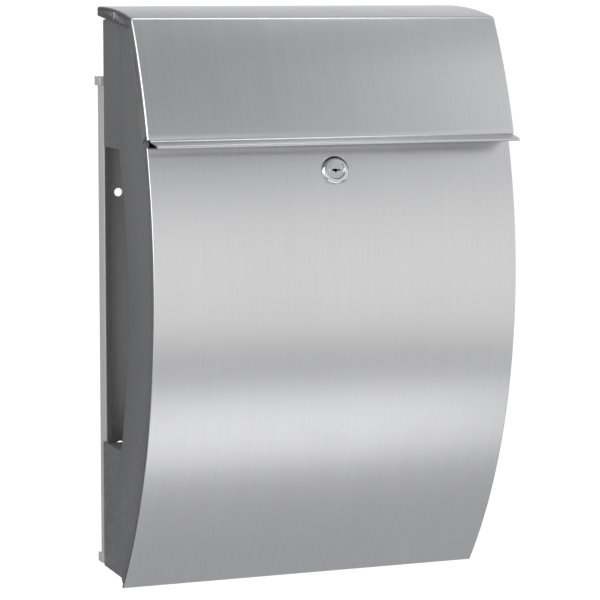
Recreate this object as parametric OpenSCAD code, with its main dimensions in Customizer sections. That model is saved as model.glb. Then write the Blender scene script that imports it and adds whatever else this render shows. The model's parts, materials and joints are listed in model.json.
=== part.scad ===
// Wall mounted mailbox with a lift up hood over the letter slot, a curved
// bottom hinged door with a cam lock, and an open newspaper niche at the back.
// Millimetres. X runs to the right seen from the front, Y runs back into the
// wall, Z is up. The origin lies on the wall, in the middle of the four wall
// screw holes.

/* [Housing] */
// Width over the outer faces of the two side walls
box_w = 354; // [300:1:425]
// Height from the underside of the housing to the top of the hood
box_h = 543; // [452:1:652]
// Distance from the wall to the fullest point of the curved door
belly_depth = 191; // [175:1:230]
// Height of the fullest point, as a share of the housing height
belly_at = 0.527; // [0.5:0.001:0.56]
// How far the curved front leans back between its fullest point and the top
lean = 74; // [66:1:80]
// Thickness of the painted sheet steel
sheet = 1.2; // [1:0.1:1.5]

/* [Wall plate] */
// Depth of the side flanges of the wall plate
plate_d = 19.5; // [16:0.5:21]
// Distance between the two columns of wall screw holes
hole_dx = 312; // [240:2:320]
// Distance between the two rows of wall screw holes
hole_dz = 248; // [160:2:300]
// Diameter of the wall screw holes
wall_hole_d = 8; // [5:0.5:9]
// Height of the top and the bottom rail
rail_h = 8.6; // [7.5:0.1:10]

/* [Newspaper niche] */
// Clear height of the niche
niche_h = 287; // [230:1:320]
// Distance from the wall to the deepest point of the niche
niche_d = 102; // [85:1:112]
// Radius of the curved wall of the niche
niche_r = 390; // [350:5:500]

/* [Hood] */
// How far the hood stands out past each side wall
hood_over = 5; // [4.4:0.1:7]
// Height of the hood, from its top down to where the lip starts
hood_h = 118.5; // [100:0.5:140]
// Step between the face of the door and the face of the hood
hood_step = 10; // [8:0.5:12]
// Radius of the gently rounded top of the hood
roof_r = 540; // [420:5:600]
// Length of the flat end of the grip lip
lip_flat = 18; // [14:0.5:22]
// Distance from the wall to the hood pins
pivot_y = 79; // [76:1:84]
// Diameter of the hood pins
pin_d = 4; // [3:0.1:4.2]

/* [Door] */
// How far the door stands out past each side wall
door_over = 3; // [2.6:0.1:4]
// How far the door reaches below the housing
door_drop = 6.5; // [5:0.5:8]
// Depth of the side flanges of the door
door_flange = 13; // [10:0.5:16]
// Diameter of the hinge rod
rod_d = 4; // [3:0.1:4.6]

/* [Lock] */
// Outer diameter of the chrome lock head
lock_head_d = 26.4; // [24:0.2:32]
// Diameter of the threaded lock barrel
lock_barrel_d = 19; // [17:0.5:20]
// Diameter of the turning face with the keyhole
lock_face_d = 16.6; // [15:0.1:17]
// Distance of the lock below the top edge of the door
lock_down = 24.5; // [24:0.5:40]
// Length of the cam from the lock axis to its tip
cam_reach = 21.5; // [20:0.5:22]

/* [Hidden] */

// finish colours
paint_grey = [0.42, 0.43, 0.45];
plate_grey = [0.62, 0.62, 0.61];
stainless = [0.78, 0.78, 0.77];
chrome = [0.85, 0.86, 0.88];
zinc = [0.70, 0.71, 0.72];
black_rubber = [0.08, 0.08, 0.08];
steel = [0.55, 0.56, 0.58];

smooth = 96;                                  // round shapes
skin_t = 1;                                   // thin stainless of the door
run_fit = 0.08;                               // radial play round pins and rod
plate_t = 1.5;                                // wall plate sheet
far = 900;                                    // longer than anything here

// heights
z_bot = -box_h * 0.4411;                      // underside of the housing
z_top = z_bot + box_h;                        // top of the hood
z_belly = z_bot + box_h * belly_at;           // fullest point of the front
rail_top = z_top - box_h * 0.1234;            // upper end of the wall plate
rail_bot = z_bot + 2;                         // lower end of the wall plate
z_lip = z_top - hood_h;                       // where the grip lip starts
z_door_top = z_lip - 7.5;
z_door_bot = z_bot - door_drop;
z_niche = z_belly - 20;                       // middle of the niche
z_lock = z_door_top - lock_down;

// curved front: the hood and the door share one centre
dz_top = z_top - z_belly;
r_hood = (dz_top * dz_top + lean * lean) / (2 * lean);
r_door = r_hood - hood_step;
r_side = r_door - 5;                          // front edge of the side walls
r_pan = r_door - skin_t;                      // outside of the inner pan
r_in = r_pan - skin_t;                        // inside of the inner pan
y_belly = r_door - belly_depth;               // centre of the curved front

// widths
side_out = box_w / 2;
side_in = side_out - sheet;
hood_out = side_out + hood_over;
hood_in = hood_out - sheet;
door_out = side_out + door_over;
plate_out = side_out - sheet - 0.4;           // wall plate sits between the walls
rail_out = side_out + 1.5;

// depths
back_y = -plate_d - 5;                        // rear return flange of the walls
panel_y = back_y - sheet;                     // back of the folded rear panel
skirt_y = -15;                                // rear edge of the lower side walls
hood_back = -22;                              // rear of the hood
y_niche = niche_r - niche_d;

// hood pin height: under the rounded top
roof_cy = -30;
function roof_z(y) = z_top - roof_r + sqrt(pow(roof_r, 2) - pow(y - roof_cy, 2));
function front_y(r, z) = y_belly - sqrt(pow(r, 2) - pow(z - z_belly, 2));
pin_y = -pivot_y;
pin_z = roof_z(pin_y) - 6.4;

// door hinge
hinge_z = z_bot - 4;
hinge_y = front_y(r_side - 1.2, hinge_z);
knuckle_d = 7;
knuckle_len = 30;
knuckle_x = box_w * 0.36;                     // place of the outer hinges

// lock axis leans with the curve of the door
lock_y = front_y(r_door, z_lock);
lock_tilt = asin((z_lock - z_belly) / r_door);

// ---------- helpers ----------

// pulls a side view (Y, Z) out to a width, starting at x0
module across(x0, w)
  translate([x0, 0, 0]) rotate([90, 0, 90]) linear_extrude(height = w) children();

// one copy on each side of the middle plane
module both() {
  children();
  mirror([1, 0, 0]) children();
}

// disc round the centre of the curved front
module front_disc(r) translate([y_belly, z_belly]) circle(r = r, $fn = smooth);

// curved strip of the front between two radii and two heights
module front_strip(r1, r0, z0, z1)
  intersection() {
    difference() {
      front_disc(r1);
      front_disc(r0);
    }
    translate([y_belly - far, z0]) square([far, z1 - z0]);
  }

// cylinder lying along X
module rod_x(x0, x1, d)
  translate([x0, 0, 0]) rotate([0, 90, 0]) cylinder(d = d, h = x1 - x0, $fn = smooth);

// lock frame: origin on the face of the door, -Y points out of the door
module at_lock()
  translate([0, lock_y, z_lock]) rotate([-lock_tilt, 0, 0]) children();

// cylinder along the lock axis from depth y0 to y1
module lock_cyl(y0, y1, d)
  translate([0, y1, 0]) rotate([90, 0, 0]) cylinder(d = d, h = y1 - y0, $fn = smooth);

// ---------- wall plate and rails ----------

module wall_plate() color(plate_grey)
  difference() {
    z0 = rail_bot + rail_h;
    h = rail_top - rail_h - z0;
    lip = 2.6;
    union() {
      translate([-plate_out, -plate_t, z0]) cube([2 * plate_out, plate_t, h]);
      both() {
        translate([plate_out - plate_t, -plate_d, z0]) cube([plate_t, plate_d, h]);
        translate([plate_out - lip, -plate_d, z0]) cube([lip, plate_t, h]);
      }
    }
    for (x = [-1, 1], z = [-1, 1])
      translate([x * hole_dx / 2, 1, z * hole_dz / 2])
        rotate([90, 0, 0]) cylinder(d = wall_hole_d, h = plate_t + 2, $fn = smooth);
  }

screw_x = box_w * 0.34;
screw_d = 5;
// rail: a wide channel against the wall with a narrower nose the housing sits on
module rail(z0, wide_d) color(plate_grey) {
  nose = plate_out - 6;
  wall = 1.6;
  difference() {
    union() {
      translate([-rail_out, -wide_d, z0]) cube([2 * rail_out, wide_d, rail_h]);
      translate([-nose, panel_y, z0]) cube([2 * nose, -panel_y, rail_h]);
    }
    // hollow behind, open towards the wall
    translate([-nose + wall, panel_y + 8, z0 + wall])
      cube([2 * (nose - wall), -panel_y, rail_h - 2 * wall]);
    for (x = [-1, 1]) translate([x * screw_x, panel_y - 1, z0 + rail_h / 2])
      rotate([-90, 0, 0]) cylinder(d = screw_d + 0.1, h = 12, $fn = smooth);
  }
}
module top_rail() rail(rail_top - rail_h, plate_d - 1.5);
module bottom_rail() rail(rail_bot, -skirt_y - 0.5);

// ---------- housing sheet work ----------

// open shape of the niche seen from the side, grown by d
module niche_shape(d)
  intersection() {
    translate([y_niche, z_niche]) circle(r = niche_r + d, $fn = smooth);
    translate([y_niche - far, z_niche - niche_h / 2 - d]) square([far, niche_h + 2 * d]);
  }

ear_r = 4.6;                                  // metal left round the hood pin
rear_top = z_top - 13.2;                      // rear corner, clear of the tipped hood
module side_shape()
  intersection() {
    front_disc(r_side);
    union() {
      polygon([[-far, z_bot], [back_y, z_bot], [back_y, rear_top],
        [pin_y + 3, pin_z + 3.2], [pin_y, pin_z + 3.6], [pin_y - 3, pin_z + 3.2],
        [pin_y - 42, roof_z(pin_y - 42) - sheet - 2.2], [-far, z_lip]]);
      translate([pin_y, pin_z]) circle(r = ear_r, $fn = smooth);
      translate([back_y - 1, z_bot]) square([skirt_y - back_y + 1, z_niche - z_bot]);
    }
  }

// the wall on the right hand side
module side_wall() {
  return_w = 5;
  front_w = 12;
  difference() {
    across(side_in, sheet) difference() {
      side_shape();
      niche_shape(0);
    }
    translate([0, pin_y, pin_z]) rod_x(side_in - 1, side_out + 1, pin_d + 0.04);
  }
  // rear return flange, which also crosses the niche
  translate([side_in - return_w, panel_y, z_bot])
    cube([return_w + sheet / 2, sheet, rear_top - 1 - z_bot]);
  // front return flange behind the door
  across(side_in - front_w, front_w + sheet / 2)
    front_strip(r_side, r_side - sheet, z_bot + sheet, z_lock + 4);
}
module right_side() color(paint_grey) side_wall();
module left_side() color(paint_grey) mirror([1, 0, 0]) side_wall();

module rear_panel() color(paint_grey)
  difference() {
    across(-side_in, 2 * side_in)
      difference() {
        union() {
          intersection() {
            niche_shape(sheet);
            translate([panel_y - far, z_bot]) square([far, box_h]);
          }
          translate([panel_y - sheet, z_bot]) square([sheet, rear_top - 1 - z_bot]);
        }
        niche_shape(0);
      }
    for (x = [-1, 1], z = [rail_top - rail_h / 2, rail_bot + rail_h / 2])
      translate([x * screw_x, panel_y + 1, z])
        rotate([90, 0, 0]) cylinder(d = screw_d + 0.4, h = sheet + 2, $fn = smooth);
  }

module floor_panel() color(paint_grey) {
  front = front_y(r_side, z_bot);
  across(-side_in, 2 * side_in)
    intersection() {
      front_disc(r_side);
      translate([front - 20, z_bot]) square([panel_y - sheet - front + 20, sheet]);
    }
  // upturned front edge between the return flanges
  across(-side_in + 12.5, 2 * side_in - 25)
    front_strip(r_side, r_side - sheet, z_bot, z_bot + 14);
}

// ledge under the letter slot; its rear edge is the strike for the cam
sill_top = lock_down - 2;
strike_y = 26;
module slot_sill() color(paint_grey)
  at_lock() across(-side_in, 2 * side_in) {
    translate([5, sill_top - sheet]) square([strike_y - 5, sheet]);
    translate([5, sill_top - 7]) square([sheet, 7]);
    translate([strike_y - sheet, sill_top - 11.5]) square([sheet, 11.5]);
  }

// ---------- hood ----------

// slope of the front where the grip lip starts, and that place on the front
lip_a = asin((z_lip - z_belly) / r_hood);
lip_n = [-cos(lip_a), sin(lip_a)];
lip_root = [y_belly, z_belly] + r_hood * lip_n;

// the hood seen from the side, shrunk by d inside its sheet, open below
module hood_shape(d)
  intersection() {
    front_disc(r_hood - d);
    translate([roof_cy, z_top - roof_r]) circle(r = roof_r - d, $fn = smooth);
    translate([-far, z_bot]) square([far + hood_back - d, far]);
  }

// everything above the square cut along the foot of the front sheet
module above_lip()
  polygon([lip_root + 60 * lip_n, [y_belly, z_belly], [y_belly, far], [-far, far]]);

lip_r = 2.5;                                  // outside radius of the lip bend
lip_fall = 10;                                // slope of the lip below the horizontal
lip_corner = 3;                               // rounding of the two corners of the lip
hem = 6;                                      // width of the folded edge
// the bend sits a little into the sheet
lip_c = lip_root + (lip_r - 0.3) * lip_n;
lip_out = lip_root[0] - lip_c[0] + lip_flat * cos(lip_fall) - lip_r * sin(lip_fall);
module lip_shape()
  translate(lip_c) rotate(lip_fall) {
    // the bend starts a little up the sheet
    up = lip_a + lip_fall - 20;
    intersection() {
      difference() {
        circle(r = lip_r + sheet, $fn = smooth);
        circle(r = lip_r, $fn = smooth);
      }
      polygon(3 * lip_r * [[0, 0], [0, -1], [1, -1], [cos(up), -sin(up)]]);
    }
    translate([-lip_flat, -lip_r - sheet]) square([lip_flat, sheet]);
    translate([-lip_flat, -lip_r - 2 * sheet]) square([hem, sheet]);
  }

front_band = 18;                              // width of the side strips down the front
module hood_side_shape()
  difference() {
    hood_shape(0);
    intersection() {
      front_disc(r_hood - front_band);
      polygon([[5, z_top - 6], [-26, z_top - 9], [-200, z_top - 27.6],
        [-far, z_top - 27.6], [-far, z_bot], [5, z_bot]]);
    }
  }

module hood() color(stainless) {
  // sheet and grip lip, the lip cut back at both ends towards its tip
  taper = 1.2;
  difference() {
    across(-hood_out, 2 * hood_out) {
      intersection() {
        above_lip();
        difference() {
          hood_shape(0);
          hood_shape(sheet);
          translate([hood_back - sheet - 1, z_bot]) square([5, z_top - 8 - z_bot]);
        }
      }
      lip_shape();
    }
    both() translate([hood_out, lip_root[0], z_lip - 40]) linear_extrude(height = 60)
      polygon(concat(
        [[1, -2], [0, -2], [-taper, -12]],
        [for (a = [0:15:90]) [-taper, -lip_out] - lip_corner * [1 - cos(a), sin(a) - 1]],
        [[-taper - lip_corner, -60], [1, -60]]));
  }
  both() difference() {
    across(hood_in, sheet) intersection() {
      above_lip();
      hood_side_shape();
    }
    translate([0, pin_y, pin_z]) rod_x(hood_in - 1, hood_out + 1, pin_d + 2 * run_fit);
  }
}

module hood_pins() color(zinc)
  both() translate([0, pin_y, pin_z]) {
    rod_x(side_in - 2, hood_out + 1.4, pin_d);
    rod_x(side_in - 1.2, side_in, pin_d + 3.2);
    rod_x(hood_out + 0.3, hood_out + 1.4, pin_d + 3);
  }

module hood_spacers() color(black_rubber)
  both() translate([0, pin_y, pin_z]) difference() {
    rod_x(side_out, hood_in - 0.35, pin_d + 4);
    rod_x(side_out - 1, hood_in + 1, pin_d + 0.04);
  }

module hood_bumpers() color(black_rubber)
  both() {
    w = 3.5;
    l = 8;
    y = pin_y - 36;
    zt = roof_z(y) - sheet - 0.35;
    translate([side_in - w, y, zt - 8]) cube([w, l, 8]);
  }

module door_bumpers() color(black_rubber)
  both() across(side_in - 10, 6)
    intersection() {
      difference() {
        front_disc(r_in - 0.5);
        front_disc(r_side);
      }
      translate([-far, z_lock - 24]) square([far, 14]);
    }

// ---------- fasteners ----------

module housing_screws() color(zinc)
  for (x = [-1, 1], z = [rail_top - rail_h / 2, rail_bot + rail_h / 2])
    translate([x * screw_x, panel_y - sheet - 1, z]) {
      rotate([-90, 0, 0]) cylinder(d = screw_d, h = sheet + 1 + 7.5, $fn = smooth);
      difference() {
        rotate([90, 0, 0]) cylinder(d1 = screw_d * 1.8, d2 = screw_d * 1.3, h = 3, $fn = smooth);
        // cross recess
        for (a = [0, 90]) rotate([0, a, 0])
          translate([-2, -4, -0.5]) cube([4, 2.5, 1]);
      }
    }

module screw_washers() color(zinc)
  for (x = [-1, 1], z = [rail_top - rail_h / 2, rail_bot + rail_h / 2])
    translate([x * screw_x, panel_y - sheet, z]) rotate([90, 0, 0]) difference() {
      cylinder(d = screw_d * 1.9, h = 1, $fn = smooth);
      translate([0, 0, -1]) cylinder(d = screw_d + 0.1, h = 3, $fn = smooth);
    }

// ---------- door ----------

module door_skin() color(stainless) difference() {
  union() {
    across(-door_out, 2 * door_out)
      front_strip(r_door, r_pan, z_door_bot, z_door_top);
    // narrow edge folds down both sides
    both() across(door_out - skin_t, skin_t)
      front_strip(r_door, r_door - 4, z_door_bot, z_door_top);
  }
  at_lock() lock_cyl(-3, 6, lock_barrel_d + 0.2);
}

module door_pan() color(paint_grey) {
  out = door_out - skin_t - 0.1;
  z0 = z_door_bot + 1;
  z1 = z_door_top - 1;
  difference() {
    across(-out, 2 * out) front_strip(r_pan, r_in, z0, z1);
    at_lock() lock_cyl(-3, 6, lock_barrel_d + 0.2);
  }
  both() across(out - skin_t, skin_t) intersection() {
    front_strip(r_pan, r_pan - door_flange, z0, z1);
    // the lower rear corner is rounded off
    union() {
      translate([-far, z0 + 8]) square([far, far]);
      translate([hinge_y - 10, z0 + 14]) circle(r = 16, $fn = smooth);
    }
  }
  // inward edge along the top, as far back as the curve of the skin has gone there
  edge_top = lock_down - 2.2 + skin_t;
  edge_y = skin_t + pow(edge_top, 2) / (2 * r_door) + 0.03;
  at_lock() across(-out, 2 * out)
    translate([edge_y, edge_top - skin_t]) square([2.8, skin_t]);
}

// hinge tubes seen from the side: welded under the floor and inside the pan
module tube_x(x, len, bore) translate([0, hinge_y, hinge_z])
  difference() {
    rod_x(x - len / 2, x + len / 2, knuckle_d);
    rod_x(x - len / 2 - 1, x + len / 2 + 1, bore);
  }

knuckle_gap = 0.5;
module housing_knuckles() color(paint_grey)
  for (x = [-knuckle_x, 0, knuckle_x]) {
    tube_x(x, knuckle_len, rod_d + 0.04);
    translate([x - knuckle_len / 2, hinge_y + rod_d / 2 + 0.4, z_bot - 1.2])
      cube([knuckle_len, 20, 1.2]);
  }

module door_knuckles() color(paint_grey)
  for (x = [-knuckle_x, 0, knuckle_x], s = [-1, 1]) {
    len = 20;
    cx = x + s * (knuckle_len / 2 + knuckle_gap + len / 2);
    tube_x(cx, len, rod_d + 2 * run_fit);
    // strap up the inside of the pan
    difference() {
      across(cx - len / 2, len) union() {
        front_strip(r_in, r_in - 1.2, z_door_bot + 2.5, z_bot + 26);
        intersection() {
          front_disc(r_in);
          translate([hinge_y, hinge_z]) circle(d = knuckle_d + 2, $fn = smooth);
          translate([hinge_y - 12, hinge_z - 3]) square([12 - rod_d / 2, 6]);
        }
      }
      translate([0, hinge_y, hinge_z]) rod_x(cx - len, cx + len, rod_d + 2 * run_fit);
    }
  }

module hinge_rod() color(steel)
  translate([0, hinge_y, hinge_z]) {
    end = knuckle_x + knuckle_len / 2 + 24;
    rod_x(-end, end, rod_d);
    both() rod_x(end, end + 1.5, rod_d + 1.6);
  }

// ---------- lock ----------

lock_out = 3.4;                               // how far the head stands proud
face_gap = 0.1;
core_d = lock_face_d - 3;
barrel_end = 22.5;
cam_y = 26.6;
cam_t = 2.4;
square_w = 8;

module lock_body() color(chrome) at_lock() difference() {
  union() {
    // bevelled head
    rotate([90, 0, 0]) rotate_extrude($fn = smooth)
      polygon([[0, 0.1], [lock_head_d / 2, 0.1], [lock_head_d / 2, 1.2],
        [lock_head_d / 2 - 1.6, lock_out - 0.3], [lock_head_d / 2 - 2.3, lock_out],
        [0, lock_out]]);
    lock_cyl(-0.5, barrel_end, lock_barrel_d);
  }
  lock_cyl(-lock_out - 1, -0.8, lock_face_d + 2 * face_gap);
  lock_cyl(-2, barrel_end + 1, core_d + 2 * face_gap);
}

module lock_washer() color(zinc) at_lock() difference() {
  lock_cyl(2.25, 3.1, lock_barrel_d + 5);
  lock_cyl(1, 5, lock_barrel_d + 0.1);
}

module lock_nut() color(zinc) at_lock() difference() {
  translate([0, 8.1, 0]) rotate([90, 0, 0]) cylinder(d = 26, h = 5, $fn = 6);
  lock_cyl(1, 10, lock_barrel_d + 0.1);
}

module lock_plug() color(chrome) at_lock() difference() {
  union() {
    lock_cyl(-lock_out + 0.5, -0.9, lock_face_d);
    lock_cyl(-1.5, barrel_end + 0.8, core_d);
    translate([-square_w / 2, barrel_end, -square_w / 2])
      cube([square_w, cam_y + cam_t - barrel_end, square_w]);
  }
  // keyhole: a flat slot with a round middle
  translate([-4.2, -lock_out - 1, -0.7]) cube([8.4, 16, 1.4]);
  translate([-1, 0, 0]) lock_cyl(-lock_out - 1, 14, 3);
  // tapped hole for the cam screw
  lock_cyl(cam_y - 9, cam_y + cam_t + 1, 4.1);
}

module lock_cam() color(zinc) at_lock() difference() {
  union() {
    lock_cyl(cam_y, cam_y + cam_t, 15);
    translate([0, cam_y, -6]) cube([cam_reach - 3, cam_t, 12]);
    translate([cam_reach - 6, 0, 0]) lock_cyl(cam_y, cam_y + cam_t, 12);
  }
  translate([-square_w / 2 - 0.03, cam_y - 1, -square_w / 2 - 0.03])
    cube([square_w + 0.06, cam_t + 2, square_w + 0.06]);
}

module cam_washer() color(zinc) at_lock() difference() {
  lock_cyl(cam_y + cam_t, cam_y + cam_t + 1, 12);
  lock_cyl(cam_y, cam_y + cam_t + 2, 4.1);
}

module cam_screw() color(zinc) at_lock() difference() {
  union() {
    lock_cyl(cam_y - 8, cam_y + cam_t + 2, 4);
    lock_cyl(cam_y + cam_t + 1, cam_y + cam_t + 3.6, 7.5);
  }
  for (a = [0, 90]) rotate([0, a, 0])
    translate([-2, cam_y + cam_t + 2.2, -0.5]) cube([4, 3, 1]);
}

wall_plate();
top_rail();
bottom_rail();
left_side();
right_side();
rear_panel();
floor_panel();
slot_sill();
hood_pins();
hood_spacers();
hood_bumpers();
door_bumpers();
housing_screws();
screw_washers();
hinge_rod();
housing_knuckles();
hood();
door_skin();
door_pan();
door_knuckles();
lock_body();
lock_washer();
lock_nut();
lock_plug();
lock_cam();
cam_washer();
cam_screw();
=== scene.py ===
"""Wall mounted mailbox: the finished sheet metal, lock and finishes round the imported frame."""

import json
import math

import bmesh
import bpy
from bpy.props import FloatProperty, FloatVectorProperty, PointerProperty
from mathutils import Matrix, Vector


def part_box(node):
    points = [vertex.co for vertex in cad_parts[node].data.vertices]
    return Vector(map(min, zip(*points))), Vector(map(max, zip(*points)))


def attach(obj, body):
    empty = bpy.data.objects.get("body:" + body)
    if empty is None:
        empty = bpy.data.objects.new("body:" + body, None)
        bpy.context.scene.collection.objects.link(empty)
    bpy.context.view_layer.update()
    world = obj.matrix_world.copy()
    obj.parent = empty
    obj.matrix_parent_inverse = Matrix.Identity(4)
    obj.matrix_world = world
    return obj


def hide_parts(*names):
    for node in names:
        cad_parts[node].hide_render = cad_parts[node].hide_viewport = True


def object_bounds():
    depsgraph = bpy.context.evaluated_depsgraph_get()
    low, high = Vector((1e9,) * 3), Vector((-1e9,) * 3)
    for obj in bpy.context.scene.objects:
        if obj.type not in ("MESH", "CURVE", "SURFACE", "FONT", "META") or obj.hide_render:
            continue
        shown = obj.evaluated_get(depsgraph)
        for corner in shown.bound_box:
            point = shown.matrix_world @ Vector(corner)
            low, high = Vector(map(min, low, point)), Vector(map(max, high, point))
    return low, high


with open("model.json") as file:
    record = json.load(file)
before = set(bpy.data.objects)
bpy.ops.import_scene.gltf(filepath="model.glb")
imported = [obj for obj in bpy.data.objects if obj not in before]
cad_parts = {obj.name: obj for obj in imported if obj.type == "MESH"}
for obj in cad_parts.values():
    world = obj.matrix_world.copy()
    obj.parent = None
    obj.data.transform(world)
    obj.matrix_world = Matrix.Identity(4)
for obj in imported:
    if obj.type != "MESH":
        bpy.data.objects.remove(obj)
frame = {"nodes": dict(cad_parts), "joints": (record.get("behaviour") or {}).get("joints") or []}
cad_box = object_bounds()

bl_info = {
    "name": "Wall mounted mailbox",
    "version": (1, 0, 0),
    "blender": (4, 5, 0),
    "location": "View3D > Sidebar > Mailbox",
    "description": "Models and finishes a wall mounted mailbox round its frame",
    "category": "Object",
}

MM = 0.001
TURNED_STEPS = 96  # facets round a turned part
SHARP = 32  # degrees; a fold sharper than this is an edge
HALVINGS = 60  # enough to find a crossing to the last digit

# ---------- sizes that come from the frame ----------

hood_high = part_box("hood")[1]
skin_low, skin_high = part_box("door_skin")
joint_at = {j["name"]: Vector(j["pos_m"]) for j in frame["joints"]}
joint_axis = {j["name"]: Vector(j["axis"]) for j in frame["joints"]}

FACE_RADIUS = 472.718 * MM  # curve of the door, seen from the side
BELLY_Z = 46.644 * MM  # height of its fullest point
ROOF_RADIUS = 540 * MM
ROOF_Y = -30 * MM  # the gently rounded top is highest here
LIP_FALL = math.radians(10)  # slope of the grip lip below the horizontal
CURVE_Y = skin_low.y + FACE_RADIUS
LOCK_STRIP = 11 * MM  # half the width of the upright strip of door skin round the lock
PIN_HOLE_RADIUS = 2.08 * MM
HEM_RADIUS = 1.3 * MM  # bend of the edge folded back under the lip
STRIP_REAR = Vector((-26 * MM, -9 * MM))  # lower edge of the hood's side strip: Y, and
STRIP_FRONT = Vector((-200 * MM, -27.6 * MM))  # Z below the hood's top
SIDE_FOLD_Y = -24.5 * MM  # where the side walls turn in at the rear


# ---------- sizes and colours a user may change ----------


def length(name, about, mm):
    return FloatProperty(
        name=name, description=about, default=mm * MM, unit="LENGTH", precision=4
    )


def colour(name, about, value):
    return FloatVectorProperty(
        name=name,
        description=about,
        default=value,
        subtype="COLOR",
        size=3,
        min=0,
        max=1,
    )


class HoodSizes(bpy.types.PropertyGroup):
    sheet: length("Sheet", "Thickness of the stainless sheet", 1.2)
    fold: length("Folds", "Radius of the folds at the top, the rear and the sides", 2.4)
    step: length("Step", "How far the hood stands in front of the door", 10)
    height: length("Height", "From the top down to where the lip starts", 118.5)
    lip_radius: length("Lip bend", "Radius of the bend into the grip lip", 2.5)
    lip_reach: length("Lip reach", "Flat length of the lip before its hem", 17.6)
    lip_corner: length("Lip corners", "Rounding of the two corners of the lip", 3)
    lip_taper: length("Lip taper", "How far each end of the lip is cut back", 1.2)
    hem: length("Hem", "Width of the edge folded back under the lip", 6)
    band: length("Side strips", "Width of the side strips down the front", 18)
    rear_flange: length("Rear flange", "Height of the fold at the rear", 8)


class DoorSizes(bpy.types.PropertyGroup):
    sheet: length("Sheet", "Thickness of the stainless skin", 1)
    side_fold: length("Edge folds", "Radius of the folds round the door", 1.1)
    fold_depth: length("Fold depth", "Depth of the folds round the door", 4)


class LockSizes(bpy.types.PropertyGroup):
    head: length("Head", "Diameter of the chrome lock head", 26.4)
    proud: length("Proud", "How far the head stands out of the door", 3.4)
    face: length("Face", "Diameter of the turning face", 16.6)
    core: length("Core", "Diameter of the plug behind its face", 13.6)
    barrel: length("Barrel", "Diameter of the threaded barrel", 19)
    barrel_depth: length("Barrel depth", "Length of the barrel in the box", 22.5)
    slot_width: length("Key slot", "Width of the key slot", 8.4)
    square: length("Square", "Width of the square end that carries the cam", 8)


class HousingSizes(bpy.types.PropertyGroup):
    edge: length("Edge", "Rounding of the cut edges of the painted sheet", 0.22)
    side_bend: length("Side bend", "Radius of the folds of the side walls", 1.12)
    plate_bend: length("Plate bend", "Radius of the folds of plate and rails", 0.8)


class FinishColours(bpy.types.PropertyGroup):
    stainless: colour("Stainless", "Brushed stainless steel", (0.60, 0.60, 0.605))
    paint: colour("Paint", "Powder coat of the housing", (0.202, 0.203, 0.210))
    plate: colour("Wall plate", "Lighter coat of the wall plate", (0.64, 0.64, 0.625))
    chrome: colour("Chrome", "Plating of the lock", (0.86, 0.865, 0.875))
    zinc: colour("Zinc", "Plated screws, pins and cam", (0.58, 0.59, 0.60))
    rubber: colour("Rubber", "Bumpers and spacers", (0.016, 0.016, 0.017))
    steel: colour("Rod", "Drawn steel of the hinge rod", (0.42, 0.42, 0.43))


class StageSizes(bpy.types.PropertyGroup):
    floor_drop: length("Floor", "Distance of the floor below the mailbox", 900)
    floor_radius: length("Floor radius", "Radius of the round floor", 3000)
    lens: FloatProperty(
        name="Lens", description="Focal length in millimetres", default=155.76
    )


GROUPS = {
    "mailbox_hood": HoodSizes,
    "mailbox_door": DoorSizes,
    "mailbox_lock": LockSizes,
    "mailbox_housing": HousingSizes,
    "mailbox_colours": FinishColours,
    "mailbox_stage": StageSizes,
}


# ---------- bench work: selecting, drawing and cutting ----------


def put_down():
    """Leaves edit mode with nothing selected."""
    if bpy.context.object and bpy.context.object.mode != "OBJECT":
        bpy.ops.object.mode_set(mode="OBJECT")
    bpy.ops.object.select_all(action="DESELECT")


def take(piece):
    """Makes one piece the only selected and active object."""
    put_down()
    piece.select_set(True)
    bpy.context.view_layer.objects.active = piece


def edit(piece):
    take(piece)
    bpy.ops.object.mode_set(mode="EDIT")
    bpy.ops.mesh.select_all(action="DESELECT")


def pick(kind, test):
    """Selects the vertices, edges or faces of the edited piece that pass a test."""
    bpy.ops.mesh.select_mode(type=kind)
    bpy.ops.mesh.select_all(action="DESELECT")
    data = bpy.context.object.data
    mesh = bmesh.from_edit_mesh(data)
    group = {"VERT": mesh.verts, "EDGE": mesh.edges, "FACE": mesh.faces}[kind]
    found = [part for part in group if test(part)]
    for part in found:
        part.select_set(True)
    bmesh.update_edit_mesh(data)
    if not found:
        raise RuntimeError(f"nothing to select on {bpy.context.object.name}")


def ends(edge):
    return [v.co for v in edge.verts]


def middle(edge):
    return (edge.verts[0].co + edge.verts[1].co) / 2


def near(a, b, gap=0.02 * MM):
    return abs(a - b) < gap


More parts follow.
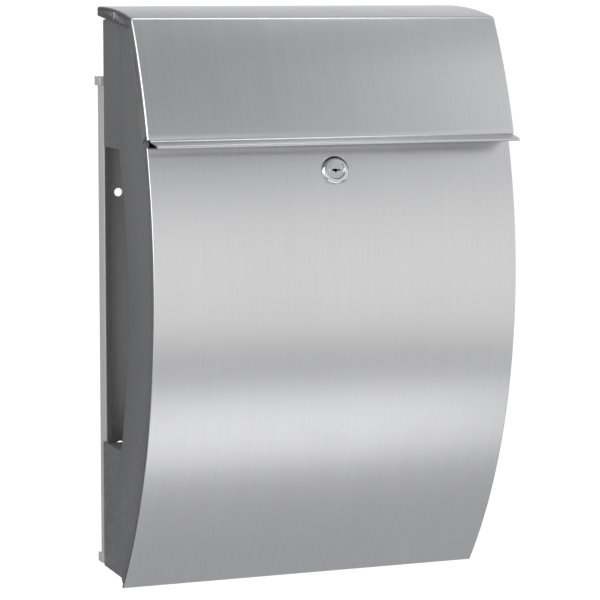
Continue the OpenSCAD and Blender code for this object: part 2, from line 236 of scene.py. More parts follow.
class Outline:
    """Draws a side view in Y and Z at one X, stroke by stroke, and pulls it out to a width."""

    def __init__(self, name, x, y, z):
        put_down()
        bpy.ops.mesh.primitive_plane_add(size=MM, location=(x, y, z))
        self.piece = bpy.context.object
        self.piece.name = self.piece.data.name = name
        bpy.ops.object.transform_apply(location=True, rotation=True, scale=True)
        bpy.ops.object.mode_set(mode="EDIT")
        bpy.ops.mesh.select_mode(type="VERT")
        bpy.ops.mesh.select_all(action="SELECT")
        bpy.ops.mesh.merge(type="CENTER")
        self.x = x
        self.start = self.at = Vector((y, z))

    def line(self, y, z):
        step = (0, y - self.at.x, z - self.at.y)
        bpy.ops.mesh.extrude_region_move(TRANSFORM_OT_translate={"value": step})
        self.at = Vector((y, z))
        return self

    def arc(self, centre, angle, steps):
        """Turns the pen round a centre; positive angles go from Y towards Z."""
        bpy.ops.mesh.spin(
            steps=steps,
            angle=-angle,
            center=(self.x, centre[0], centre[1]),
            axis=(1, 0, 0),
        )
        offset = self.at - Vector(centre)
        self.at = Vector(centre) + Matrix.Rotation(angle, 2) @ offset
        return self

    def arc_to(self, centre, y, z, steps):
        """Follows a circle round a centre to a point on it, the short way."""
        a = self.at - Vector(centre)
        b = Vector((y, z)) - Vector(centre)
        turn = math.atan2(a.x * b.y - a.y * b.x, a.dot(b))
        return self.arc(centre, turn, steps)

    def fill(self):
        """Closes the outline and makes it one face."""
        self.line(*self.start)
        bpy.ops.mesh.select_all(action="SELECT")
        bpy.ops.mesh.remove_doubles(threshold=0.005 * MM)
        bpy.ops.mesh.select_all(action="SELECT")
        bpy.ops.mesh.edge_face_add()
        return self

    def pull(self, width):
        """Pulls the face along X to a solid bar and returns the piece."""
        bpy.ops.mesh.select_mode(type="FACE")
        bpy.ops.mesh.select_all(action="SELECT")
        bpy.ops.mesh.extrude_region_move(
            TRANSFORM_OT_translate={"value": (width, 0, 0)}
        )
        bpy.ops.mesh.select_all(action="SELECT")
        bpy.ops.mesh.normals_make_consistent(inside=False)
        return self.piece


def apply_modifier(piece, kind, **settings):
    take(piece)
    bpy.ops.object.modifier_add(type=kind)
    modifier = piece.modifiers[-1]
    for key, value in settings.items():
        setattr(modifier, key, value)
    bpy.ops.object.modifier_apply(modifier=modifier.name)


def cut(piece, tool, operation="DIFFERENCE"):
    """Cuts a tool out of a piece, or joins the two, and removes the tool."""
    put_down()
    apply_modifier(piece, "BOOLEAN", operation=operation, object=tool, solver="EXACT")
    bpy.data.objects.remove(tool)


def rod(name, centre, axis, radius, depth, sides=64):
    """A plain round bar to cut with, its middle at a point."""
    put_down()
    bpy.ops.mesh.primitive_cylinder_add(
        vertices=sides,
        radius=radius,
        depth=depth,
        location=centre,
        rotation=Vector(axis).to_track_quat("Z", "Y").to_euler(),
    )
    made = bpy.context.object
    made.name = name
    bpy.ops.object.transform_apply(location=True, rotation=True, scale=True)
    return made


def block(name, centre, size):
    """A plain box to cut or join with, its middle at a point."""
    put_down()
    bpy.ops.mesh.primitive_cube_add(size=1, location=centre)
    made = bpy.context.object
    made.name = name
    made.scale = size
    bpy.ops.object.transform_apply(location=True, rotation=True, scale=True)
    return made


def ease_edges(piece, width):
    """Rounds every sharp edge a little and shades the rest smooth."""
    apply_modifier(
        piece,
        "BEVEL",
        width=width,
        segments=2,
        limit_method="ANGLE",
        angle_limit=math.radians(SHARP),
        use_clamp_overlap=False,
        miter_outer="MITER_ARC",
    )
    tidy(piece)


def tidy(piece, angle=SHARP):
    """Merges what lies together, faces everything outwards and shades it."""
    edit(piece)
    bpy.ops.mesh.select_all(action="SELECT")
    bpy.ops.mesh.remove_doubles(threshold=0.002 * MM)
    bpy.ops.mesh.normals_make_consistent(inside=False)
    take(piece)
    bpy.ops.object.shade_smooth_by_angle(angle=math.radians(angle))


def across_grain(piece):
    """Lets the brushing run from top to bottom: the mesh's texture space lies far in front."""
    piece.data.use_auto_texspace = False
    piece.data.texspace_location = (0, 50, 0)
    piece.data.texspace_size = (1, 1, 1)


def settle(piece, body, slot, *nodes):
    """Hands a finished piece to its body and hides the nodes it stands for. The slot argument is
    not used.
    """
    take(piece)
    bpy.ops.object.transform_apply(location=True, rotation=True, scale=True)
    put_down()
    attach(piece, body)
    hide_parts(*nodes)


# ---------- finishes ----------


class Signal:
    """One output of a shader node, which adds and multiplies like a number."""

    def __init__(self, book, socket):
        self.book, self.socket = book, socket

    def math(self, operation, a, b):
        return self.book.node("ShaderNodeMath", {"operation": operation}, {0: a, 1: b})

    def __add__(self, other):
        return self.math("ADD", self, other)

    def __radd__(self, other):
        return self.math("ADD", other, self)

    def __sub__(self, other):
        return self.math("SUBTRACT", self, other)

    def __rsub__(self, other):
        return self.math("SUBTRACT", other, self)

    def __mul__(self, other):
        return self.math("MULTIPLY", self, other)

    def __rmul__(self, other):
        return self.math("MULTIPLY", other, self)


class NodeBook:
    """Writes the nodes of one material or of the world."""

    def __init__(self, owner):
        owner.use_nodes = True
        self.tree = owner.node_tree
        self.tree.nodes.clear()

    def node(self, kind, settings=None, values=None, output=0):
        made = self.tree.nodes.new(kind)
        for key, value in (settings or {}).items():
            setattr(made, key, value)
        for key, value in (values or {}).items():
            if isinstance(value, Signal):
                self.tree.links.new(value.socket, made.inputs[key])
            else:
                made.inputs[key].default_value = value
        return Signal(self, made.outputs[output]) if made.outputs else None

    def place(self, scale):
        """Object coordinates, stretched."""
        here = self.node("ShaderNodeTexCoord", output="Object")
        return self.node(
            "ShaderNodeMapping", None, {"Vector": here, "Scale": scale}
        )

    def noise(self, scale, detail=2.0, roughness=0.5):
        """Soft noise with a mean of one half; scale gives its grains to the metre."""
        where = self.place(scale if isinstance(scale, tuple) else (scale,) * 3)
        return self.node(
            "ShaderNodeTexNoise",
            None,
            {"Vector": where, "Scale": 1.0, "Detail": detail, "Roughness": roughness},
        )

    def ramp(self, signal, low, high):
        """Rises smoothly from 0 to 1 as a signal goes from low to high."""
        return self.node(
            "ShaderNodeMapRange",
            {"interpolation_type": "SMOOTHSTEP"},
            {0: signal, 1: low, 2: high, 3: 0.0, 4: 1.0},
        )

    def tint(self, colour_value, strength):
        """A colour made lighter or darker by a signal round one."""
        return self.node(
            "ShaderNodeVectorMath",
            {"operation": "SCALE"},
            {0: tuple(colour_value), "Scale": strength},
        )

    def mix(self, share, a, b):
        return self.node(
            "ShaderNodeMix", {"data_type": "RGBA"}, {0: share, 6: a, 7: b}, output=2
        )

    def bump(self, height, distance, strength):
        return self.node(
            "ShaderNodeBump",
            None,
            {"Height": height, "Distance": distance, "Strength": strength},
        )

    def surface(self, values):
        shader = self.node("ShaderNodeBsdfPrincipled", None, values)
        self.node("ShaderNodeOutputMaterial", None, {"Surface": shader})


def rgba(value):
    return (*value, 1.0)


def new_material(name, value):
    material = bpy.data.materials.get(name)
    if material:
        return material, None
    material = bpy.data.materials.new(name)
    material.diffuse_color = rgba(value)
    return material, NodeBook(material)


def brushed_stainless():
    """Stainless sheet brushed from top to bottom."""
    base = bpy.context.scene.mailbox_colours.stainless
    material, book = new_material("brushed_stainless", base)
    if book:
        hair = book.noise((2600, 16, 16), 3.0, 0.65)
        streak = book.noise((330, 4.5, 4.5), 2.0)
        cloud = book.noise(9.0, 2.0)
        smudge = book.ramp(book.noise(22.0, 3.0), 0.52, 0.78)
        shade = 0.87 + 0.16 * hair + 0.07 * streak + 0.04 * cloud
        rough = 0.265 + 0.10 * hair + 0.035 * streak + 0.03 * smudge
        height = hair + 0.4 * streak
        book.surface(
            {
                "Base Color": book.tint(base, shade),
                "Metallic": 1.0,
                "Roughness": rough,
                "Anisotropic": 0.55,
                "Normal": book.bump(height, 0.012 * MM, 0.6),
            }
        )
    return material


def powder_coat(name, base, flake, rough):
    """Silver grey powder coat: orange peel, a trace of flake and slightly worn edges."""
    material, book = new_material(name, base)
    if book:
        peel = book.noise(520.0, 2.0, 0.45)
        grain = book.noise(2400.0, 1.0)
        cloud = book.noise(7.0, 3.0)
        scuff = book.ramp(book.noise((60, 60, 240), 4.0, 0.7), 0.66, 0.80)
        edge = book.node("ShaderNodeNewGeometry", output="Pointiness")
        worn = book.ramp(edge, 0.515, 0.60) * book.ramp(
            book.noise(140.0, 3.0), 0.42, 0.66
        )
        shade = 0.93 + flake * grain + 0.07 * cloud + 0.05 * scuff
        worn_metal = rgba((0.5, 0.5, 0.51))
        book.surface(
            {
                "Base Color": book.mix(
                    0.35 * worn, book.tint(base, shade), worn_metal
                ),
                "Metallic": 0.18,
                "Roughness": rough + 0.07 * cloud + 0.05 * grain - 0.06 * worn,
                "Normal": book.bump(peel + 0.25 * grain, 0.05 * MM, 0.7),
            }
        )
    return material


def housing_paint():
    base = bpy.context.scene.mailbox_colours.paint
    return powder_coat("housing_powder_coat", base, 0.10, 0.40)


def plate_paint():
    base = bpy.context.scene.mailbox_colours.plate
    return powder_coat("wall_plate_coat", base, 0.08, 0.36)


def lock_chrome():
    """Bright chrome with hairline scratches from the key."""
    base = bpy.context.scene.mailbox_colours.chrome
    material, book = new_material("lock_chrome", base)
    if book:
        wipe = book.noise((900, 900, 90), 3.0, 0.6)
        scratch = book.ramp(wipe, 0.62, 0.72)
        haze = book.noise(160.0, 2.0)
        book.surface(
            {
                "Base Color": book.tint(base, 1.0 - 0.06 * haze - 0.08 * scratch),
                "Metallic": 1.0,
                "Roughness": 0.055 + 0.06 * haze + 0.12 * scratch,
                "Normal": book.bump(wipe, 0.004 * MM, 0.5),
            }
        )
    return material


def keyway_painted_shade():
    """Painted shade for the inside of the key slot: near black in place of the metal of the
    plug.
    """
    base = (0.012, 0.012, 0.013)
    material, book = new_material("keyway_painted_shade", base)
    if book:
        dust = book.noise(1500.0, 2.0)
        book.surface(
            {
                "Base Color": book.tint(base, 0.6 + 0.8 * dust),
                "Metallic": 0.6,
                "Roughness": 0.55 + 0.2 * dust,
            }
        )
    return material


def zinc_plate():
    """Blue white zinc plating with its faint spangle."""
    base = bpy.context.scene.mailbox_colours.zinc
    material, book = new_material("zinc_plating", base)
    if book:
        where = book.place((900, 900, 900))
        spangle = book.node(
            "ShaderNodeTexVoronoi",
            {"feature": "SMOOTH_F1"},
            {"Vector": where, "Scale": 1.0},
        )
        stain = book.noise(260.0, 3.0)
        book.surface(
            {
                "Base Color": book.tint(base, 0.84 + 0.18 * spangle + 0.14 * stain),
                "Metallic": 1.0,
                "Roughness": 0.27 + 0.12 * stain + 0.08 * spangle,
                "Normal": book.bump(stain, 0.01 * MM, 0.5),
            }
        )
    return material


def bumper_rubber():
    """Matt black rubber with a moulded grain."""
    base = bpy.context.scene.mailbox_colours.rubber
    material, book = new_material("bumper_rubber", base)
    if book:
        grain = book.noise(1700.0, 3.0)
        dust = book.ramp(book.noise(180.0, 3.0), 0.5, 0.75)
        book.surface(
            {
                "Base Color": book.mix(
                    0.25 * dust, book.tint(base, 0.8 + 0.5 * grain), rgba((0.09,) * 3)
                ),
                "Roughness": 0.66 + 0.18 * dust,
                "Normal": book.bump(grain, 0.03 * MM, 0.8),
            }
        )
    return material


def drawn_steel():
    """Bright drawn rod with rings along its length."""
    base = bpy.context.scene.mailbox_colours.steel
    material, book = new_material("drawn_steel", base)
    if book:
        draw = book.noise((30, 2600, 2600), 3.0)
        stain = book.noise(120.0, 3.0)
        book.surface(
            {
                "Base Color": book.tint(base, 0.84 + 0.16 * draw + 0.16 * stain),
                "Metallic": 1.0,
                "Roughness": 0.24 + 0.16 * stain + 0.06 * draw,
                "Normal": book.bump(draw, 0.008 * MM, 0.6),
            }
        )
    return material


def paint_piece(piece, *materials):
    piece.data.materials.clear()
    for material in materials:
        piece.data.materials.append(material)


# ---------- pieces ----------


def front_y(radius, z):
    return CURVE_Y - math.sqrt(radius**2 - (z - BELLY_Z) ** 2)


def roof_z(y):
    return hood_high.z - ROOF_RADIUS + math.sqrt(ROOF_RADIUS**2 - (y - ROOF_Y) ** 2)


def fold_point(radius):
    """Where the rounded top meets the curved front: halves a span until it is found."""
    low, high = BELLY_Z, hood_high.z
    for _ in range(HALVINGS):
        z = (low + high) / 2
        if roof_z(front_y(radius, z)) > z:
            low = z
        else:
            high = z
    return front_y(radius, low), low


def hood_side_opening(radius, lip_z, rear):
    """The cutting bar that leaves the narrow side strips of the hood."""
    sizes = bpy.context.scene.mailbox_hood
    inner = radius - sizes.band
    top = hood_high.z
    slope = (STRIP_FRONT.y - STRIP_REAR.y) / (STRIP_FRONT.x - STRIP_REAR.x)

    def strip_z(y):
        return top + STRIP_REAR.y + slope * (y - STRIP_REAR.x)

    low, high = STRIP_FRONT.x, STRIP_REAR.x
    for _ in range(HALVINGS):
        y = (low + high) / 2
        if front_y(inner, strip_z(y)) > y:
            low = y
        else:
            high = y
    corner = (low, strip_z(low))
    # the bar runs past the hood at its foot, behind it and at both sides
    foot, behind = lip_z - 40 * MM, rear + 30 * MM
    half = hood_high.x + 20 * MM
    pen = Outline("opening_bar", -half, behind, foot)
    pen.line(behind, strip_z(behind))
    pen.line(*corner)
    pen.arc_to((CURVE_Y, BELLY_Z), front_y(inner, foot), foot, 24)
    bar = pen.fill().pull(2 * half)

    def at_corner(edge):
        return (Vector((0, *corner)) - middle(edge)).length < 0.02 * MM

    pick("EDGE", at_corner)
    bpy.ops.mesh.bevel(offset=5 * MM, segments=5, affect="EDGES")
    return bar


def corner_cutter(x, y, z, radius):
    """What has to go to round one front corner of the lip: a block without a quarter round."""
    side = math.copysign(1, x)
    heart = Vector((x - side * radius, y + radius, z))
    size = radius + MM
    middle_of = heart + Vector((side * size / 2, -size / 2, 0))
    corner = block("corner_block", middle_of, (size, size, 12 * MM))
    cut(corner, rod("corner_round", heart, (0, 0, 1), radius, 20 * MM, 48))
    return corner


class MAILBOX_OT_hood(bpy.types.Operator):
    """Models the folded stainless hood with its grip lip"""

    bl_idname = "mailbox.hood"
    bl_label = "Hood"

    def execute(self, context):
        sizes = context.scene.mailbox_hood
        radius = FACE_RADIUS + sizes.step
        half, rear, top = hood_high.x, hood_high.y, hood_high.z
        lip_z = top - sizes.height
        centre = (CURVE_Y, BELLY_Z)
        slope = math.asin((lip_z - BELLY_Z) / radius)
        out = Vector((-math.cos(slope), math.sin(slope)))
        root = Vector(centre) + radius * out
        fold = fold_point(radius)

        # the closed bar the sheet is folded round
        pen = Outline("hood_sheet", -half, rear, roof_z(rear) - sizes.rear_flange)
        pen.line(rear, roof_z(rear))
        pen.arc_to((ROOF_Y, top - ROOF_RADIUS), *fold, 26)
        pen.arc_to(centre, root.x, root.y, 22)
        pen.line(*(root - 45 * MM * out))
        hood = pen.fill().pull(2 * half)

        # folds: rear, top front and down both sides
        def folded(edge):
            a, b = ends(edge)
            if near(a.x, b.x):
                on_side = near(abs(a.x), half)
                inside = any(
                    (Vector((p.y, p.z)) - Vector(centre)).length < radius - MM
                    and p.z < roof_z(p.y) - 0.1 * MM
                    for p in (a, b)
                )
                on_rear = near(a.y, rear) and near(b.y, rear)
                return on_side and (on_rear or not inside)
            here = Vector((a.y, a.z))
            at_rear = near(a.y, rear) and near(a.z, roof_z(rear))
            return at_rear or (here - Vector(fold)).length < 0.05 * MM

        pick("EDGE", folded)
        bpy.ops.mesh.bevel(
            offset=sizes.fold, segments=5, affect="EDGES", clamp_overlap=False
        )

        # the bar is open below and at the rear foot
        pick("FACE", lambda f: abs(f.normal.x) < 0.5 and f.normal.z < -0.2)
        bpy.ops.mesh.delete(type="FACE")

        # the lip grows out of the foot of the front sheet
        def foot(edge):
            a, b = ends(edge)
            return (
                not near(a.x, b.x)
                and abs(a.x - b.x) > half
                and (Vector((a.y, a.z)) - root).length < 0.2 * MM
            )

        pick("EDGE", foot)
        bend = root + sizes.lip_radius * out
        turn = math.pi / 2 - slope - LIP_FALL
        bpy.ops.mesh.spin(
            steps=8, angle=turn, center=(0, bend.x, bend.y), axis=(1, 0, 0)
        )
        forward = Vector((-math.cos(LIP_FALL), -math.sin(LIP_FALL)))
        under = Vector((math.sin(LIP_FALL), -math.cos(LIP_FALL)))
        reach = (sizes.lip_reach - HEM_RADIUS) * forward
        bpy.ops.mesh.extrude_region_move(
            TRANSFORM_OT_translate={"value": (0, reach.x, reach.y)}
        )
        narrow = 1 - sizes.lip_taper / half
        bpy.ops.transform.resize(value=(narrow, 1, 1), center_override=(0, 0, 0))
        tip = bend + reach + (sizes.lip_radius + HEM_RADIUS) * under
        bpy.ops.mesh.spin(
            steps=8, angle=-math.pi, center=(0, tip.x, tip.y), axis=(1, 0, 0)
        )
        back = (HEM_RADIUS - sizes.hem) * forward
        bpy.ops.mesh.extrude_region_move(
            TRANSFORM_OT_translate={"value": (0, back.x, back.y)}
        )
        bpy.ops.mesh.select_all(action="SELECT")
        bpy.ops.mesh.remove_doubles(threshold=0.005 * MM)
        bpy.ops.mesh.normals_make_consistent(inside=False)
        face_outwards(hood, (0, CURVE_Y, BELLY_Z))
        apply_modifier(
            hood,
            "SOLIDIFY",
            thickness=sizes.sheet,
            offset=-1,
            use_even_offset=True,
            thickness_clamp=0.0,
        )
        cut(hood, hood_side_opening(radius, lip_z, rear))
        pin = joint_at["hood_hinge"]
        cut(hood, rod("pin_drill", pin, (1, 0, 0), PIN_HOLE_RADIUS, 3 * half))
        for side in (-1, 1):
            edge = side * (half - sizes.lip_taper)
            front = tip.x - HEM_RADIUS
            cut(hood, corner_cutter(edge, front, tip.y, sizes.lip_corner))
        ease_edges(hood, 0.18 * MM)
        across_grain(hood)
        paint_piece(hood, brushed_stainless())
        settle(hood, "hood", "stainless", "hood")
        return {"FINISHED"}


def face_outwards(piece, inside):
    """Turns an open sheet so that it faces away from a point behind it."""
    data = piece.data
    mesh = bmesh.from_edit_mesh(data)
    vote = sum(
        face.calc_area()
        * face.normal.dot((face.calc_center_median() - Vector(inside)).normalized())
        for face in mesh.faces
    )
    bmesh.update_edit_mesh(data)
    if vote < 0:
        bpy.ops.mesh.select_all(action="SELECT")
        bpy.ops.mesh.flip_normals()


class MAILBOX_OT_door(bpy.types.Operator):
    """Models the curved stainless door skin with its folded edges"""

    bl_idname = "mailbox.door"
    bl_label = "Door skin"

    def execute(self, context):
        sizes = context.scene.mailbox_door
        lock = context.scene.mailbox_lock
        half, low, high = skin_high.x, skin_low.z, skin_high.z
        centre = (CURVE_Y, BELLY_Z)
        inner = FACE_RADIUS - sizes.fold_depth
        pen = Outline("door_sheet", -half, front_y(FACE_RADIUS, low), low)
        pen.arc_to(centre, front_y(FACE_RADIUS, high), high, 72)
        pen.line(front_y(inner, high), high)
        pen.arc_to(centre, front_y(inner, low), low, 72)
        door = pen.fill().pull(2 * half)

        def radius_of(point):
            return (Vector((point.y, point.z)) - Vector(centre)).length

        def folded(edge):
            outer = all(near(radius_of(p), FACE_RADIUS) for p in ends(edge))
            a, b = ends(edge)
            at_side = near(a.x, b.x)
            at_end = any(near(a.z, z) for z in (low, high)) and near(a.z, b.z)
            return outer and (at_side or at_end)

        pick("EDGE", folded)
        bpy.ops.mesh.bevel(
            offset=sizes.side_fold, segments=4, affect="EDGES", clamp_overlap=False
        )
        pick(
            "FACE",
            lambda f: all(near(radius_of(v.co), inner, 0.1 * MM) for v in f.verts)
            and abs(f.normal.x) < 0.5
            and len(f.verts) == 4,
        )
        bpy.ops.mesh.delete(type="FACE")
        bpy.ops.mesh.select_all(action="SELECT")
        bpy.ops.mesh.normals_make_consistent(inside=False)
        face_outwards(door, (0, CURVE_Y, BELLY_Z))
        apply_modifier(
            door, "SOLIDIFY", thickness=sizes.sheet, offset=-1, use_even_offset=True
        )
        lock_at, lock_out = joint_at["lock_turn"], joint_axis["lock_turn"]
        edit(door)
        for x in (-LOCK_STRIP, LOCK_STRIP):
            bpy.ops.mesh.select_all(action="SELECT")
            bpy.ops.mesh.bisect(plane_co=(x, 0, 0), plane_no=(1, 0, 0))
        drill = rod("lock_drill", lock_at, lock_out, lock.barrel / 2 + 0.1 * MM, 0.03)
        cut(door, drill)
        ease_edges(door, 0.15 * MM)
        across_grain(door)
        paint_piece(door, brushed_stainless())
        settle(door, "door", "stainless", "door_skin")
        return {"FINISHED"}


def turned(name, profile):
    """A turned part: a closed profile of (depth, radius) spun round the lock axis."""
    pen = Outline(name, 0, *profile[0])
    for point in profile[1:]:
        pen.line(*point)
    pen.line(*profile[0])
    bpy.ops.mesh.select_all(action="SELECT")
    bpy.ops.mesh.remove_doubles(threshold=0.001 * MM)
    bpy.ops.mesh.select_all(action="SELECT")
    bpy.ops.mesh.spin(
        steps=TURNED_STEPS, angle=2 * math.pi, center=(0, 0, 0), axis=(0, 1, 0)
    )
    bpy.ops.mesh.select_all(action="SELECT")
    bpy.ops.mesh.remove_doubles(threshold=0.001 * MM)
    bpy.ops.mesh.normals_make_consistent(inside=False)
    return pen.piece


def at_lock(piece):
    """Moves a part made round the Y axis to the lock, leaning with the door."""
    out = joint_axis["lock_turn"]
    lean = math.atan2(out.z, -out.y)
    take(piece)
    piece.rotation_euler = (-lean, 0, 0)
    piece.location = joint_at["lock_turn"]
    bpy.ops.object.transform_apply(location=True, rotation=True, scale=True)


class MAILBOX_OT_lock(bpy.types.Operator):
    """Turns the chrome lock head and the face with the key slot"""

    bl_idname = "mailbox.lock"
    bl_label = "Lock"

    def execute(self, context):
        self.head(context.scene.mailbox_lock)
        self.face(context.scene.mailbox_lock)
        return {"FINISHED"}

    def head(self, s):
        rim, up, bore = s.head / 2, -s.proud, s.face / 2 + 0.1 * MM
        core, tube = s.core / 2 + 0.1 * MM, s.barrel / 2
        crown = [(0.10, 0.0), (-0.95, 0.0), (-1.35, -0.12), (-1.9, -0.62)]
        crown += [(-2.45, -1.25), (-2.9, -1.85), (-3.2, -2.4), (-3.35, -2.95)]
        profile = [(y * MM, rim + r * MM) for y, r in crown]
        profile += [(up, rim - 3.5 * MM), (up, bore + 0.35 * MM)]
        profile += [(up + 0.3 * MM, bore), (-0.8 * MM, bore), (-0.8 * MM, core)]
        end = s.barrel_depth
        profile += [(end, core), (end, tube - 0.5 * MM), (end - 0.6 * MM, tube)]
        # screw thread, drawn as close rings
        pitch, depth = 1.5 * MM, 0.5 * MM
        y = end - 0.6 * MM
        while y - pitch > 2.3 * MM:
            profile += [(y - pitch / 2, tube - depth), (y - pitch, tube)]
            y -= pitch
        profile += [(0.10 * MM, tube)]
        head = turned("lock_head", profile)
        tidy(head, 40)
        at_lock(head)
        paint_piece(head, lock_chrome())
        settle(head, "door", "lock_chrome", "lock_body")

    def face(self, s):
        top, rim, core = -s.proud + 0.5 * MM, s.face / 2, s.core / 2
        groove = rim - 1.3 * MM
        end = s.barrel_depth + 0.8 * MM
        profile = [(top, 0.0), (top, groove - 0.2 * MM)]
        profile += [(top + 0.16 * MM, groove), (top, groove + 0.2 * MM)]
        profile += [(top, rim - 0.35 * MM), (top + 0.3 * MM, rim)]
        profile += [(-0.9 * MM, rim), (-0.9 * MM, core), (end, core), (end, 0.0)]
        face = turned("key_face", profile)
        far = end + 4.9 * MM
        root = 2 * MM  # how far the square end reaches into the plug
        square = block(
            "plug_square",
            (0, (far + end - root) / 2, 0),
            (s.square, far - end + root, s.square),
        )
        cut(face, square, "UNION")
        # key slot: a round middle, a wide half and a narrow half
        slot_from, slot_to = -5 * MM, 15 * MM
        deep, at = slot_to - slot_from, (slot_from + slot_to) / 2
        slot = block("slot_narrow", (0, at, 0), (s.slot_width, deep, 1.3 * MM))
        self.round_along(slot, 0.6 * MM)
        wide = block(
            "slot_wide", (-2.3 * MM, at, 0.15 * MM), (3.2 * MM, deep, 2.1 * MM)
        )
        self.round_along(wide, 0.8 * MM)
        heart = (-0.6 * MM, at, -0.25 * MM)
        cut(slot, rod("slot_middle", heart, (0, 1, 0), 1.6 * MM, deep, 40), "UNION")
        cut(slot, wide, "UNION")
        cut(face, slot)
        tidy(face, 30)
        paint_piece(face, lock_chrome(), keyway_painted_shade())
        # the faces inside the key slot take the near black painted shade material
        for polygon in face.data.polygons:
            spot = polygon.center
            inside = top + 0.2 * MM < spot.y < slot_to + 0.2 * MM
            if inside and math.hypot(spot.x, spot.z) < 4.6 * MM:
                polygon.material_index = 1
        at_lock(face)
        settle(face, "lock", "lock_chrome", "lock_plug")

    def round_along(self, bar, radius):
        """Rounds the four long edges of a bar that lies along Y."""
        edit(bar)
        pick("EDGE", lambda e: abs(ends(e)[0].y - ends(e)[1].y) > 10 * MM)
        bpy.ops.mesh.bevel(offset=radius, segments=4, affect="EDGES")


def dressed_copy(node, name, edge, bends=()):
    """A merged copy of a frame node with its folded corners and cut edges rounded."""
    source = frame["nodes"][node]
    mesh = source.data.copy()
    piece = bpy.data.objects.new(name, mesh)
    mesh.name = name
    bpy.context.scene.collection.objects.link(piece)
    edit(piece)
    bpy.ops.mesh.select_all(action="SELECT")
    bpy.ops.mesh.remove_doubles(threshold=0.003 * MM)
    bpy.ops.mesh.select_all(action="SELECT")
    bpy.ops.mesh.dissolve_limited(angle_limit=math.radians(0.3))
    for test, radius in bends:
        pick("EDGE", test)
        bpy.ops.mesh.bevel(
            offset=radius, segments=4, affect="EDGES", clamp_overlap=False
        )
    put_down()
    ease_edges(piece, edge)
    return piece


def upright_corner(x, y):
    """Picks the upright edges at one corner of the plan."""

    def test(e):
        a, b = ends(e)
        upright = near(a.x, b.x) and near(a.y, b.y)
        return upright and near(abs(a.x), x, 0.1 * MM) and near(a.y, y, 0.1 * MM)

    return test


class MAILBOX_OT_housing(bpy.types.Operator):
    """Dresses the painted sheet work of the housing and the inner pan of the door"""

    bl_idname = "mailbox.housing"
    bl_label = "Housing sheet work"

    def execute(self, context):
        sizes = context.scene.mailbox_housing
        side_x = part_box("right_side")[1].x
        for node, name in (
            ("left_side", "side_wall_left"),
            ("right_side", "side_wall_right"),
        ):
            corner = (upright_corner(side_x, SIDE_FOLD_Y), sizes.side_bend)
            wall = dressed_copy(node, name, sizes.edge, (corner,))
            paint_piece(wall, housing_paint())
            settle(wall, "housing", "painted_steel", node)
        for node, name, body in (
            ("rear_panel", "niche_panel", "housing"),
            ("floor_panel", "floor_tray", "housing"),
            ("slot_sill", "letter_sill", "housing"),
            ("door_pan", "door_liner", "door"),
            ("housing_knuckles", "floor_hinge_tubes", "housing"),
            ("door_knuckles", "door_hinge_tubes", "door"),
        ):
            piece = dressed_copy(node, name, sizes.edge)
            paint_piece(piece, housing_paint())
            settle(piece, body, "painted_steel", node)
        return {"FINISHED"}


class MAILBOX_OT_wall_plate(bpy.types.Operator):
    """Dresses the wall plate and the two rails that carry the housing"""

    bl_idname = "mailbox.wall_plate"
    bl_label = "Wall plate and rails"

    def execute(self, context):
        sizes = context.scene.mailbox_housing
        for node, name, depth in (
            ("wall_plate", "wall_channel", 19.5),
            ("top_rail", "rail_upper", 18),
            ("bottom_rail", "rail_lower", 14.5),
        ):
            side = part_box(node)[1].x
            corner = (upright_corner(side, -depth * MM), sizes.plate_bend)
            piece = dressed_copy(node, name, sizes.edge, (corner,))
            paint_piece(piece, plate_paint())
            settle(piece, "housing", "plate_steel", node)
        return {"FINISHED"}


class MAILBOX_OT_hardware(bpy.types.Operator):
    """Dresses the pins, screws, bumpers, nut and cam"""

    bl_idname = "mailbox.hardware"
    bl_label = "Small hardware"

    def execute(self, context):
        edge = 0.15 * MM
        for node, name, body, finish, slot in (
            ("hood_pins", "hood_pivot_pins", "housing", zinc_plate, "zinc_steel"),
            ("hood_spacers", "pivot_spacers", "housing", bumper_rubber, "black_rubber"),
            ("hood_bumpers", "hood_stops", "housing", bumper_rubber, "black_rubber"),
            ("door_bumpers", "door_stops", "housing", bumper_rubber, "black_rubber"),
            ("housing_screws", "rail_screws", "housing", zinc_plate, "zinc_steel"),
            ("screw_washers", "rail_washers", "housing", zinc_plate, "zinc_steel"),
            ("hinge_rod", "door_hinge_rod", "housing", drawn_steel, "rod_steel"),
            ("lock_washer", "barrel_washer", "door", zinc_plate, "zinc_steel"),
            ("lock_nut", "barrel_nut", "door", zinc_plate, "zinc_steel"),
            ("lock_cam", "latch_cam", "lock", zinc_plate, "zinc_steel"),
            ("cam_washer", "latch_washer", "lock", zinc_plate, "zinc_steel"),
            ("cam_screw", "latch_screw", "lock", zinc_plate, "zinc_steel"),
        ):
            piece = dressed_copy(node, name, edge)
            paint_piece(piece, finish())
            settle(piece, body, slot, node)
        return {"FINISHED"}


# ---------- stage ----------


def soft_box(name, place, target, width, height, radiance):
    """A rectangular lamp that faces a point; it isn't seen by the camera itself."""
    lamp = bpy.data.lights.new(name, "AREA")
    lamp.shape = "RECTANGLE"
    lamp.size, lamp.size_y = width, height
    lamp.energy = radiance * math.pi * width * height
    thing = bpy.data.objects.new(name, lamp)
    bpy.context.scene.collection.objects.link(thing)
    thing.location = place
    aim = Vector(target) - Vector(place)
    thing.rotation_euler = aim.to_track_quat("-Z", "Y").to_euler()
    thing.visible_camera = False
    return thing


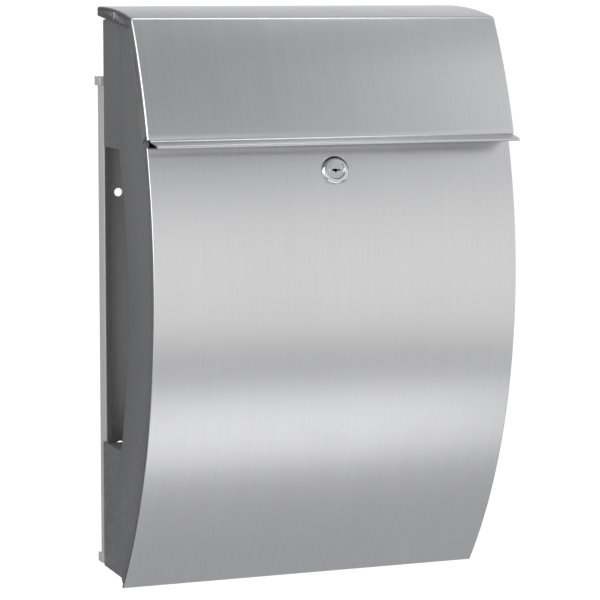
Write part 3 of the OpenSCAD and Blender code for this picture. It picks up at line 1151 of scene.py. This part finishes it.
def shade_card(name, place, target, width, height, grey):
    """A dark card that only shows in reflections."""
    put_down()
    bpy.ops.mesh.primitive_plane_add(size=1)
    card = bpy.context.object
    card.name = name
    card.scale = (width, height, 1)
    card.location = place
    aim = Vector(target) - Vector(place)
    card.rotation_euler = aim.to_track_quat("Z", "Y").to_euler()
    bpy.ops.object.transform_apply(location=True, rotation=True, scale=True)
    material, book = new_material(name, (grey,) * 3)
    weave = book.noise(300.0)
    book.surface(
        {"Base Color": book.tint((grey,) * 3, 0.9 + 0.2 * weave), "Roughness": 0.9}
    )
    paint_piece(card, material)
    card.visible_camera = False
    card.visible_diffuse = False
    card.visible_shadow = False


class MAILBOX_OT_stage(bpy.types.Operator):
    """Sets up the pale floor, the soft light and the camera"""

    bl_idname = "mailbox.stage"
    bl_label = "Stage"

    def execute(self, context):
        scene = context.scene
        sizes = scene.mailbox_stage
        scene.view_settings.view_transform = "Standard"
        self.floor(sizes)
        self.world(scene)
        self.lamps()
        self.camera(scene, sizes)
        return {"FINISHED"}

    def floor(self, sizes):
        put_down()
        low = cad_box[0].z - sizes.floor_drop
        bpy.ops.mesh.primitive_circle_add(
            vertices=128,
            radius=sizes.floor_radius,
            fill_type="NGON",
            location=(0, -0.4, low),
        )
        floor = bpy.context.object
        floor.name = "studio_floor"
        bpy.ops.object.transform_apply(location=True, rotation=True, scale=True)
        material, book = new_material("pale_floor", (0.7, 0.7, 0.7))
        cloud = book.noise(1.5, 3.0)
        book.surface(
            {
                "Base Color": book.tint((0.86, 0.86, 0.855), 0.97 + 0.06 * cloud),
                "Roughness": 0.6,
            }
        )
        paint_piece(floor, material)

    def world(self, scene):
        world = scene.world or bpy.data.worlds.new("studio")
        scene.world = world
        book = NodeBook(world)
        way = book.node("ShaderNodeTexCoord", output="Generated")
        split = book.node("ShaderNodeSeparateXYZ", None, {0: way})
        side, depth, up = [
            Signal(book, split.socket.node.outputs[axis]) for axis in ("X", "Y", "Z")
        ]
        front = book.ramp(depth, 0.10, -0.30)
        high = book.ramp(up, 0.08, 0.55)
        right = book.ramp(side, 0.05, 0.75)
        dark = high * (0.9 + 0.1 * front) * (1 - 0.35 * right)
        light = 1.06 - 0.70 * dark
        cast = book.mix(dark, rgba((1, 1, 1)), rgba((0.955, 0.965, 1.0)))
        background = book.node(
            "ShaderNodeBackground", None, {"Color": cast, "Strength": light}
        )
        book.node("ShaderNodeOutputWorld", None, {"Surface": background})

    def lamps(self):
        heart = (0, -0.12, 0.03)
        soft_box("low_front_lamp", (0.1, -1.1, -1.03), (0, -0.18, -0.08), 2.2, 0.7, 0.85)
        fold_lamp = soft_box("left_fold_lamp", (-2.0, -0.45, 0.75), heart, 2.0, 1.7, 2.6)
        fold_lamp.visible_diffuse = False
        soft_box("overhead_lamp", (0.1, 0.0, 1.7), heart, 2.0, 0.6, 2.1)
        soft_box("right_key_lamp", (1.9, -1.7, 1.7), heart, 1.2, 1.2, 0.6)
        shade_card("left_card", (-1.25, 1.45, 0.0), (0, 0, 0.0), 3.2, 2.6, 0.10)

    def camera(self, scene, sizes):
        data = bpy.data.cameras.new("front_left_camera")
        data.lens = sizes.lens
        data.sensor_width = 36
        data.shift_y = -0.06
        data.dof.use_dof = False
        camera = bpy.data.objects.new("front_left_camera", data)
        scene.collection.objects.link(camera)
        camera.location = (-0.8766, -2.410, 0.3244)
        tilt, turn = math.radians(90 - 6.154), math.radians(-20.672)
        camera.rotation_euler = (tilt, 0, turn)
        scene.camera = camera


# ---------- panel and start ----------

STEPS = (
    MAILBOX_OT_stage,
    MAILBOX_OT_hood,
    MAILBOX_OT_door,
    MAILBOX_OT_lock,
    MAILBOX_OT_housing,
    MAILBOX_OT_wall_plate,
    MAILBOX_OT_hardware,
)


class MAILBOX_PT_sidebar(bpy.types.Panel):
    bl_idname = "MAILBOX_PT_sidebar"
    bl_label = "Mailbox"
    bl_space_type = "VIEW_3D"
    bl_region_type = "UI"
    bl_category = "Mailbox"

    def draw(self, context):
        layout = self.layout
        for step in STEPS:
            layout.operator(step.bl_idname)
        for name, group in GROUPS.items():
            box = layout.box()
            for key in group.__annotations__:
                box.prop(getattr(context.scene, name), key)


def register():
    for name, group in GROUPS.items():
        bpy.utils.register_class(group)
        setattr(bpy.types.Scene, name, PointerProperty(type=group))
    for step in (*STEPS, MAILBOX_PT_sidebar):
        bpy.utils.register_class(step)


def unregister():
    for step in (MAILBOX_PT_sidebar, *reversed(STEPS)):
        bpy.utils.unregister_class(step)
    for name, group in reversed(GROUPS.items()):
        delattr(bpy.types.Scene, name)
        bpy.utils.unregister_class(group)


def main():
    register()
    for step in STEPS:
        family, action = step.bl_idname.split(".")
        getattr(getattr(bpy.ops, family), action)()
    put_down()


if __name__ == "__main__":
    main()
